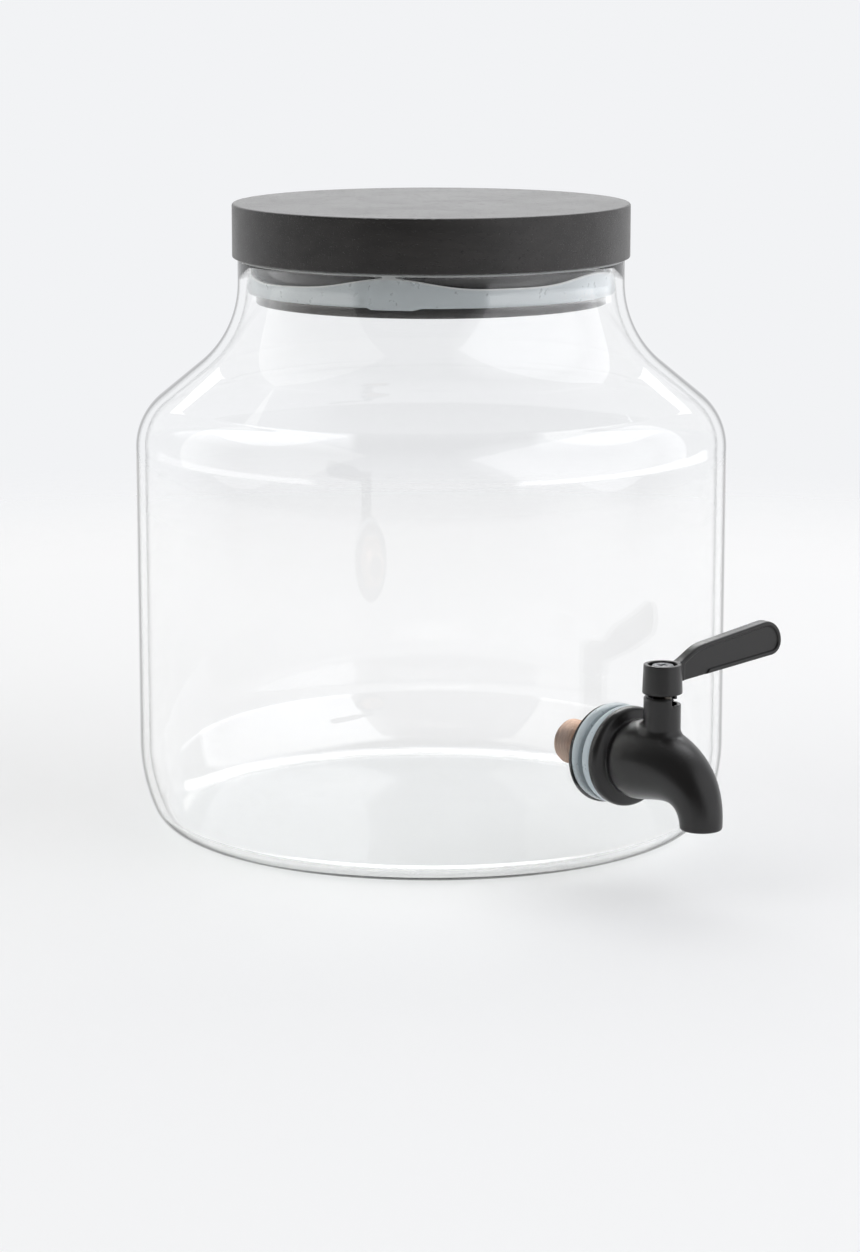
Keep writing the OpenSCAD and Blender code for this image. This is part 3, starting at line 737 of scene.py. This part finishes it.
def tap_casting(tap):
    """Flange, barrel, spout and stem as one casting, with its bores, the mouth and the stop notch."""
    flange = [(0, 0), (FLANGE_R - 0.3 * MM, 0), (FLANGE_R, 0.3 * MM)]
    flange += arc((FLANGE_R - FLANGE_ROUND, 2 * MM), FLANGE_ROUND, 0, 68, 12)
    flange += [(13.9 * MM, FLANGE_T - 0.5 * MM), (GROOVE_R, FLANGE_T - 0.3 * MM),
               (GROOVE_R, FLANGE_T + 1 * MM), (0, FLANGE_T + 1 * MM)]
    body = turned("tap_casting", flange, 160, along_tap(FLANGE_S))
    stations = [(i / 48, 0) for i in range(49)] + [(1, roll) for roll in (22.5, 45, 67.5, 90)]
    join(body, skin("spout", [spout_ring(u, roll, 96) for u, roll in stations]), "UNION")
    stem = [(0, TAP_Z), (STEM_R, TAP_Z), (STEM_R, STEM_Z - STEM_EDGE),
            (STEM_R - STEM_EDGE, STEM_Z), (0, STEM_Z)]
    join(body, turned("stem", stem, 128, ON_STEM), "UNION")
    join(body, skin("saddle", fillet_rings(96, 12)), "UNION")
    low = TAP_Z + MOUTH_Y - PAST
    mouth = bore(MOUTH_BORE, low, low + MOUTH_DEPTH)[:-1] + [(0, low + MOUTH_DEPTH + MOUTH_POINT)]
    run = Vector((MOUTH_REACH - FALL_START, -FALL_DROP))
    tilt = Matrix.Rotation(-atan2(run.y, run.x), 4, "X")
    cuts = (
        ("valve_bore", bore(VALVE_R, TAP_Z - VALVE_DEPTH, STEM_Z + PAST), 96, ON_STEM),
        ("mouth_bore", mouth, 96, Matrix.Translation((0, -STEM_S - MOUTH_REACH, 0))),
        ("socket", bore(SOCKET_R, -PAST, SOCKET_DEPTH), 96, along_tap(FLANGE_S)),
        ("port", bore(PORT_R, 0, STEM_S + PORT_PAST - FLANGE_S), 64, along_tap(FLANGE_S)),
        ("fall", bore(PORT_R + 0.3 * MM, -PAST, run.length), 64,
         along_tap(STEM_S + FALL_START) @ tilt),
        ("ring_groove", bore(VALVE_R + RING_SIZE[0], RING_Z, RING_Z + RING_SIZE[1]), 96, ON_STEM),
    )
    for name, section, sides, place in cuts:
        join(body, turned(name, section, sides, place), "DIFFERENCE")
    join(body, notch_cutter(), "DIFFERENCE")
    melt(body, tap.grain, 3)
    return body


def notch_cutter():
    """Sector of a ring that clears the stem's rim where the lever's lug travels."""
    return skin("notch", sector(VALVE_R - 0.5 * MM, STEM_R + 2 * MM, STEM_Z - NOTCH, STEM_Z + PAST,
                                *NOTCH_ENDS, 36, -STEM_S))


class JAR_OT_tap(bpy.types.Operator):
    """Casts the body of the tap"""
    bl_idname = "jar.tap"
    bl_label = "Tap body"

    def execute(self, context):
        tap = context.scene.jar_tap
        place_piece(tap_casting(tap), "jar", "black_coating", powder_coated_zinc(tap), "tap_body")
        return {"FINISHED"}


# ---- the shank and its washers ----

SHANK_R = 8 * MM
SHANK_BORE = 5.5 * MM
SHANK_CHAMFER = 0.9 * MM     # on the thread's free end
BORE_CHAMFER = 0.4 * MM
THREAD_DEPTH = 0.85 * MM
THREAD_STEPS = 12            # rings per turn of the thread
THREAD_CREST = 0.12          # share of half a pitch that is crest
THREAD_FLANK = 0.72          # and that is flank
WASHER_R = 17.5 * MM
WASHER_HOLE = SHANK_R + 0.2 * MM
WASHER_BULGE = 0.5 * MM
WASHER_PLAY = 0.03 * MM      # between a washer and the glass
INNER_WASHER_T = 4.6 * MM


def thread_dip(turn):
    """Depth of the thread at a share of its pitch: flat crest, straight flanks and a narrow root."""
    wave = abs((turn % 1) * 2 - 1)
    return THREAD_DEPTH * min(max((wave - THREAD_CREST) / THREAD_FLANK, 0), 1)


def shank_rings(tap, sides):
    """Threaded outside, chamfered ends and plain bore, ring by ring from the free end."""
    start, end = -SHANK_HIGH.y, -SHANK_LOW.y
    count = int((end - start) / (tap.pitch / THREAD_STEPS))
    place = along_tap(0)
    rings = []
    for i in range(count + 1):
        s = start + (end - start) * i / count
        bevel = SHANK_R - max(SHANK_CHAMFER - (s - start), 0)
        ring = []
        for j, a in enumerate(around(sides)):
            r = min(SHANK_R - thread_dip(s / tap.pitch - j / sides), bevel)
            ring.append(place @ Vector((r * cos(a), r * sin(a), s)))
        rings.append(ring)
    for s, r in ((end, SHANK_BORE), (start + BORE_CHAMFER, SHANK_BORE),
                 (start, SHANK_BORE + BORE_CHAMFER)):
        rings.append([place @ Vector((r * cos(a), r * sin(a), s)) for a in around(sides)])
    return rings


def washer_rings(flat, face, hole, rim, sides):
    """Washer that is flat at the distance flat, and behind that follows glass of the radius face."""
    place = along_tap(0)
    out = 1 if flat > face else -1
    section = [(hole, 0), (rim - WASHER_BULGE, 0)]
    section += [(rim - WASHER_BULGE * (1 - cos(radians(t))),
                 0.5 * (1 + sin(radians(t)))) for t in (-60, -30, 0, 30, 60)]
    section += [(rim - WASHER_BULGE, 1), (hole, 1)]
    rings = []
    for radius, share in section:
        ring = []
        for a in around(sides):
            x = radius * cos(a)
            back = sqrt(face ** 2 - x ** 2) + out * WASHER_PLAY
            ring.append(place @ Vector((x, radius * sin(a), flat + (back - flat) * share)))
        rings.append(ring)
    return rings


class JAR_OT_shank(bpy.types.Operator):
    """Cuts the threaded shank and finishes its nut"""
    bl_idname = "jar.shank"
    bl_label = "Shank and nut"

    def execute(self, context):
        tap = context.scene.jar_tap
        copper = turned_metal("coppered_brass", tap.copper, 0.34, 0.8 * MM)
        shank = skin("threaded_shank", shank_rings(tap, 96), loop=True, crease=50)
        place_piece(shank, "jar", "coppered_brass", copper, "tap_shank")
        dress_node("shank_nut", copper, 0.25 * MM)
        return {"FINISHED"}


class JAR_OT_washers(bpy.types.Operator):
    """Moulds the two silicone washers and finishes the backing washer"""
    bl_idname = "jar.washers"
    bl_label = "Washers"

    def execute(self, context):
        jar = context.scene.jar_glass
        tap = context.scene.jar_tap
        silicone = moulded_silicone("moulded_washer_silicone", tap.washer, 0.8, 2 * MM)
        inside = jar.body_radius - jar.wall
        for name, flat, face, node in (
                ("outer_seal_washer", FLANGE_S, jar.body_radius, "outer_washer"),
                ("inner_seal_washer", inside - INNER_WASHER_T, inside, "inner_washer")):
            rings = washer_rings(flat, face, WASHER_HOLE, WASHER_R, 160)
            place_piece(skin(name, rings, loop=True), "jar", "clear_silicone", silicone, node)
        rubber = moulded_polymer("moulded_rubber", srgb("#1a1a1b"), 0.55, 0.4 * MM)
        dress_node("backing_washer", rubber, 0.15 * MM)
        return {"FINISHED"}


class JAR_OT_valve(bpy.types.Operator):
    """Finishes the valve inside the stem"""
    bl_idname = "jar.valve"
    bl_label = "Valve"

    def execute(self, context):
        # Painted shade: the spindle's brass is darkened because it shows in the gap between stem and
        # hub, which is dark.
        brass = turned_metal("darkened_brass", srgb("#4b4742"), 0.36, 0.5 * MM)
        dress_node("spindle", brass, 0.15 * MM)
        nitrile = moulded_polymer("greased_nitrile", srgb("#161617"), 0.35, 0.3 * MM)
        dress_node("lower_o_ring", nitrile)
        dress_node("upper_o_ring", nitrile)
        ptfe = moulded_polymer("skived_ptfe", srgb("#e8e6df"), 0.45, 0.5 * MM)
        dress_node("thrust_washer", ptfe, 0.1 * MM)
        steel = turned_metal("phosphated_spring_steel", srgb("#6f7174"), 0.42, 0.4 * MM)
        dress_node("retaining_ring", steel, 0.1 * MM)
        return {"FINISHED"}


# ---- the lever ----

HUB_TOP = 10.4 * MM          # heights in the lever are above the hub's foot
HUB_R = 6.65 * MM
HUB_FOOT_R = 7 * MM
HUB_RECESS = 3 * MM          # depth of the screw's recess
RECESS_R = 5.2 * MM
SCREW_R = 2.15 * MM          # clearance hole of the screw
LEDGE = 1.9 * MM             # thickness that the screw clamps
DRIVE_R = 3.25 * MM          # hole over the spindle's drive
BLADE_LIFT = radians(8.5)     # slope of the blade's back
BLADE_FALL = radians(5.5)     # slope of its lower edge, away from it
BLADE_ROUND = 0.8 * MM
TIP_LOW_R = 4.75 * MM        # the tip's lower and upper corners
TIP_HIGH_R = 7.35 * MM
TIP_Z = 12.45 * MM
TIP_STEP = 0.15 * MM         # by which their centres lie under it and over it
BACK_LENGTH = 28 * MM        # of the blade's straight back
ROOT = Vector((3 * MM, 9.4 * MM))  # where the back meets the hub
PANEL_X = 8.5 * MM           # where the sunk panel begins, off the stem's axis
PANEL_DRAFT = 0.25 * MM      # by which its rim slopes in
SLANT_X = 20 * MM            # where its lower rim ends
LUG_HALF = 6                 # degrees
LUG_PLAY = 0.2 * MM          # clear of the valve's bore
LUG_LIFT = 0.8 * MM          # and of the notch's floor


def blade_outline(lever, inset, steps=16):
    """Side outline of the blade, drawn inset, from the hub along the bottom, round the tip and back."""
    low = Vector((lever.reach - TIP_LOW_R, TIP_Z - TIP_STEP))
    high = Vector((lever.reach - TIP_HIGH_R, TIP_Z + TIP_STEP))
    rise = Vector((cos(BLADE_LIFT), sin(BLADE_LIFT)))
    top = high + (TIP_HIGH_R - inset) * Vector((-rise.y, rise.x)) - rise * BACK_LENGTH
    bottom = low + (TIP_LOW_R - inset) * Vector((sin(BLADE_FALL), -cos(BLADE_FALL)))
    neck = [top, top - rise * 6 * MM,
            Vector((9.6 * MM, ROOT.y + 1.2 * MM - inset)), ROOT - Vector((0, inset))]
    points = [bottom - (bottom.x - ROOT.x) * Vector((1, tan(BLADE_FALL)))]
    tip = (arc(low, TIP_LOW_R - inset, -90 + degrees(BLADE_FALL), 0, steps)
           + arc(high, TIP_HIGH_R - inset, 0, 90 + degrees(BLADE_LIFT), steps))
    points += [Vector(p) for p in tip]
    points += [bezier(neck, i / steps) for i in range(steps + 1)]
    return points


def blade_layers(lever, round_over, steps=5):
    """The outline as a plate whose edges are rounded over, layer by layer."""
    half = lever.thickness / 2
    layers = []
    for side in (-1, 1):
        turns = [90 * i / steps for i in range(steps + 1)]
        for turn in (turns[::-1] if side < 0 else turns):
            t = radians(turn)
            inset = round_over * (1 - cos(t))
            across = side * (half - round_over + round_over * sin(t))
            layers.append([(p.x, across, p.y) for p in blade_outline(lever, inset)])
    return layers


def panel_cutter(lever, side):
    """Sunk panel on one face, open towards the hub, its rim ending in a slant along the bottom."""
    half = lever.thickness / 2
    rings = []
    for rim, depth in ((lever.rim + PANEL_DRAFT, half - lever.panel), (lever.rim, half),
                       (lever.rim, half + PAST)):
        inset = blade_outline(lever, rim)
        tip = [p for p in inset[1:] if p.x > PANEL_X]
        end = tip[0] - (tip[0].x - SLANT_X) * Vector((1, tan(BLADE_FALL)))
        shape = [Vector((PANEL_X, 0)), Vector((SLANT_X - 5 * MM, 0)), end, *tip,
                 Vector((PANEL_X, ROOT.y))]
        rings.append([(p.x, side * depth, p.y) for p in shape])
    return skin("panel", rings)


def lug_rings():
    """Lug under the hub that runs in the notch, over the stem's own wall."""
    return sector(VALVE_R + LUG_PLAY, STEM_R, -(HUB_GAP + NOTCH - LUG_LIFT), 0.5 * MM,
                  -LUG_HALF, LUG_HALF, 8)


def lever_casting(lever, voxel):
    """Hub, blade and lug as one casting, made about the hub's foot."""
    ease = 0.5 * MM
    hub = ([(0, 0)] + arc((HUB_FOOT_R - ease, ease), ease, -90, 0, 5)
           + arc((HUB_R - 0.3 * MM, HUB_TOP - 0.3 * MM), 0.3 * MM, 0, 90, 4) + [(0, HUB_TOP)])
    body = turned("lever_casting", hub, 160)
    blade = skin("blade", blade_layers(lever, BLADE_ROUND))
    for side in (-1, 1):
        join(blade, panel_cutter(lever, side), "DIFFERENCE")
    join(body, blade, "UNION")
    join(body, skin("lug", lug_rings()), "UNION")
    floor = HUB_TOP - HUB_RECESS
    join(body, turned("recess", bore(RECESS_R, floor, HUB_TOP + 2 * MM), 96), "DIFFERENCE")
    ledge = floor - LEDGE
    eye = [(0, -PAST), (DRIVE_R, -PAST), (DRIVE_R, ledge), (SCREW_R, ledge),
           (SCREW_R, HUB_TOP), (0, HUB_TOP)]
    join(body, turned("eye", eye, 64), "DIFFERENCE")
    melt(body, voxel, 3)
    body.data.transform(Matrix.Translation(HUB_PIVOT))
    return body


class JAR_OT_lever(bpy.types.Operator):
    """Casts the lever and finishes the screw that holds it"""
    bl_idname = "jar.lever"
    bl_label = "Lever"

    def execute(self, context):
        tap = context.scene.jar_tap
        coat = bpy.data.materials.get("powder_coated_zinc") or powder_coated_zinc(tap)
        lever = lever_casting(context.scene.jar_lever, 0.7 * tap.grain)
        place_piece(lever, "handle", "black_coating", coat, "lever")
        steel = turned_metal("blackened_steel", srgb("#77797c"), 0.26, 0.3 * MM)
        dress_node("lever_screw", steel, 0.15 * MM)
        dress_node("lever_washer", steel, 0.1 * MM)
        return {"FINISHED"}


# ---- the stage ----

CAMERA_PLACE = (-831.92 * MM, -1064.1 * MM, 335.35 * MM)
CAMERA_HEADING = -38         # degrees from +Y
CAMERA_PITCH = 11            # degrees below level
FLOOR_R = 1.05               # metres, as the stage's other distances
FLOOR_DROP = 0.1 * MM        # below the jar's foot
FLOOR_CLEAR = (0.55, 0.92)   # radii between which the floor gives way to the backdrop's colour
FLOOR_EDGE = (0.94, 1.02)    # and between which it ends for gloss and for light
AMBIENT = 0.45               # of white, from all round
# The studio that gloss shows, as round areas: heading and elevation of each one's middle, degrees
# from there to where it begins and to where it is in full, and its level outside and inside.
AREAS = {
    "backdrop": (180, 0, 110, 57, 0.10, 1.0),
    "window": (65, 28, 50, 24, 0.0, 1.2),
    "skylight": (180, 52, 36, 18, 0.0, 4.6),
    "lit_wall": (90, 0, 107, 73, 1.3, 2.2),       # on both sides, brighter at the right
    "camera_corner": (-6, 0, 42, 36, 1.0, 0.0),   # dim part of the room, behind the camera
    "far_side": (180, 0, 50, 40, 1.0, 0.0),       # where no lit wall is
}
# The same by height alone: sines of the elevations where a change begins and ends, and both levels.
HEIGHTS = {
    "ground": (-0.45, -0.25, 0.9, 0.0),
    "wall_foot": (-0.15, -0.11, 0.0, 1.0),
    "wall_head": (-0.02, 0.03, 1.0, 0.0),
}
# Heading, elevation, distance, width and height, radiance and colour of each lamp.
LAMPS = {
    "right_softbox": (75, 26, 2.2, (4.2, 2.9), 1.25, "#fcfcff"),
    "left_softbox": (-80, 26, 2.2, (3.1, 2.9), 0.9, "#fffef9"),
    "back_softbox": (180, 38, 4.0, (4.4, 2.45), 2.0, "#fffcf7"),
}
BOUNCES = 40                 # of light, enough for the many walls of glass


def pale_laminate(stage):
    """Matt laminate floor: plain, and it fades out into the backdrop away from the object."""
    material, tree = blank("matt_laminate")
    here = add(tree, "TexCoord").outputs["Object"]
    reach = add(tree, "VectorMath", {0: here}, operation="LENGTH")
    clear = add(tree, "MapRange", {
        "Value": reach.outputs["Value"], "From Min": FLOOR_CLEAR[0], "From Max": FLOOR_CLEAR[1]},
        interpolation_type="SMOOTHSTEP")
    edge = add(tree, "MapRange", {
        "Value": reach.outputs["Value"], "From Min": FLOOR_EDGE[0], "From Max": FLOOR_EDGE[1]},
        interpolation_type="SMOOTHSTEP")
    path = add(tree, "LightPath")
    seen = add(tree, "Math", {
        0: path.outputs["Is Camera Ray"], 1: path.outputs["Is Transmission Ray"]}, operation="MAXIMUM")
    away = add(tree, "Mix", {"Factor": seen, "A": edge, "B": clear})
    ground = add(tree, "BsdfDiffuse", {"Color": rgba(stage.ground)})
    nothing = add(tree, "BsdfTransparent")
    fade = add(tree, "MixShader", {0: away, 1: ground, 2: nothing})
    add(tree, "OutputMaterial", {"Surface": fade})
    return material


def studio_world(stage):
    """Plain ambient light, the backdrop's own colour where it is seen, and the studio in gloss."""
    world = bpy.data.worlds.new("studio")
    bpy.context.scene.world = world
    world.use_nodes = True
    tree = world.node_tree
    tree.nodes.clear()
    ambient = add(tree, "Background", {"Color": rgba(srgb("#ffffff")), "Strength": AMBIENT})
    backdrop = add(tree, "Background", {"Color": rgba(stage.ground), "Strength": 1.0})
    way = add(tree, "TexCoord").outputs["Generated"]
    height = add(tree, "SeparateXYZ", {"Vector": way}).outputs["Z"]
    levels = {}
    for name, (heading, elevation, rim, core, outside, inside) in AREAS.items():
        facing = add(tree, "VectorMath", {
            0: way, 1: towards(heading, elevation)}, operation="DOT_PRODUCT")
        levels[name] = add(tree, "MapRange", {
            "Value": facing.outputs["Value"], "From Min": cos(radians(rim)),
            "From Max": cos(radians(core)), "To Min": outside, "To Max": inside},
            interpolation_type="SMOOTHSTEP")
    for name, (start, end, before, after) in HEIGHTS.items():
        levels[name] = add(tree, "MapRange", {
            "Value": height, "From Min": start, "From Max": end, "To Min": before, "To Max": after},
            interpolation_type="SMOOTHSTEP")
    wall = levels["lit_wall"]
    for limit in ("camera_corner", "far_side", "wall_foot", "wall_head"):
        wall = add(tree, "Math", {0: wall, 1: levels[limit]}, operation="MULTIPLY")
    level = wall
    for source in ("backdrop", "ground", "window", "skylight"):
        level = add(tree, "Math", {0: level, 1: levels[source]}, operation="MAXIMUM")
    room = add(tree, "Background", {"Color": rgba(stage.ground), "Strength": level})
    path = add(tree, "LightPath")
    seen = add(tree, "Math", {
        0: path.outputs["Is Camera Ray"], 1: path.outputs["Is Transmission Ray"]}, operation="MAXIMUM")
    first = add(tree, "Math", {0: path.outputs["Diffuse Depth"], 1: 0.5}, operation="LESS_THAN")
    seen_first = add(tree, "Math", {0: seen, 1: first}, operation="MULTIPLY")
    gloss_first = add(tree, "Math", {0: path.outputs["Is Glossy Ray"], 1: first}, operation="MULTIPLY")
    plain = add(tree, "MixShader", {0: seen_first, 1: ambient, 2: backdrop})
    both = add(tree, "MixShader", {0: gloss_first, 1: plain, 2: room})
    add(tree, "OutputWorld", {"Surface": both})


def towards(heading, elevation):
    """Unit vector away from the object. Headings count from the camera's side, to its right."""
    turn, rise = radians(CAMERA_HEADING + heading), radians(elevation)
    return Vector((sin(turn) * cos(rise), -cos(turn) * cos(rise), sin(rise)))


def softbox(name, heading, elevation, distance, size, radiance, colour):
    """Soft rectangular lamp that faces the object, and lights it without showing in its gloss."""
    data = bpy.data.lights.new(name, "AREA")
    data.shape = "RECTANGLE"
    data.size, data.size_y = size
    data.energy = radiance * pi * size[0] * size[1]
    data.color = srgb(colour)
    lamp = linked(name, data)
    back = towards(heading, elevation)
    lamp.location = Vector((0, 0, DISC_HIGH.z / 2)) + back * distance
    lamp.rotation_euler = back.to_track_quat("Z", "Y").to_euler()
    lamp.visible_camera = False
    lamp.visible_glossy = False


class JAR_OT_stage(bpy.types.Operator):
    """Sets the floor, the lamps, the backdrop and the camera"""
    bl_idname = "jar.stage"
    bl_label = "Stage"

    def execute(self, context):
        stage = context.scene.jar_stage
        data = bpy.data.meshes.new("floor")
        edge = [(FLOOR_R * cos(a), FLOOR_R * sin(a), -FLOOR_DROP) for a in around(96)]
        data.from_pydata(edge, [], [range(96)])
        data.materials.append(pale_laminate(stage))
        linked("floor", data)
        studio_world(stage)
        for name, lamp in LAMPS.items():
            softbox(name, *lamp)
        data = bpy.data.cameras.new("camera")
        data.lens = stage.focal
        data.sensor_width = 36
        camera = linked("camera", data)
        camera.location = CAMERA_PLACE
        camera.rotation_euler = (radians(90 - CAMERA_PITCH), 0, radians(CAMERA_HEADING))
        context.scene.camera = camera
        context.scene.view_settings.view_transform = "Standard"
        paths = context.scene.cycles
        paths.max_bounces = BOUNCES
        paths.glossy_bounces = paths.transmission_bounces = 32
        paths.transparent_max_bounces = 16
        return {"FINISHED"}


# ---- the add-on ----

class JAR_PT_panel(bpy.types.Panel):
    """Sizes, colours and pieces of the dispenser jar"""
    bl_idname = "JAR_PT_panel"
    bl_label = "Dispenser jar"
    bl_space_type = "VIEW_3D"
    bl_region_type = "UI"
    bl_category = "Jar"

    def draw(self, context):
        for group in SETTINGS:
            box = self.layout.box()
            for key in SETTINGS[group].__annotations__:
                box.prop(getattr(context.scene, group), key)
        for operator in OPERATORS:
            self.layout.operator(operator.bl_idname)


SETTINGS = {
    "jar_glass": JarSettings, "jar_lid": LidSettings, "jar_tap": TapSettings,
    "jar_lever": LeverSettings, "jar_stage": StageSettings,
}
OPERATORS = (
    JAR_OT_stage, JAR_OT_glass, JAR_OT_lid, JAR_OT_seal, JAR_OT_tap, JAR_OT_shank, JAR_OT_washers,
    JAR_OT_valve, JAR_OT_lever,
)


def register():
    for kind in (*SETTINGS.values(), *OPERATORS, JAR_PT_panel):
        bpy.utils.register_class(kind)
    for group, kind in SETTINGS.items():
        setattr(bpy.types.Scene, group, PointerProperty(type=kind))


def unregister():
    for group in SETTINGS:
        delattr(bpy.types.Scene, group)
    for kind in reversed((*SETTINGS.values(), *OPERATORS, JAR_PT_panel)):
        bpy.utils.unregister_class(kind)


def main():
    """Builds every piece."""
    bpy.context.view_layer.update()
    register()
    for operator in OPERATORS:
        group, name = operator.bl_idname.split(".")
        getattr(getattr(bpy.ops, group), name)()


if __name__ == "__main__":
    main()
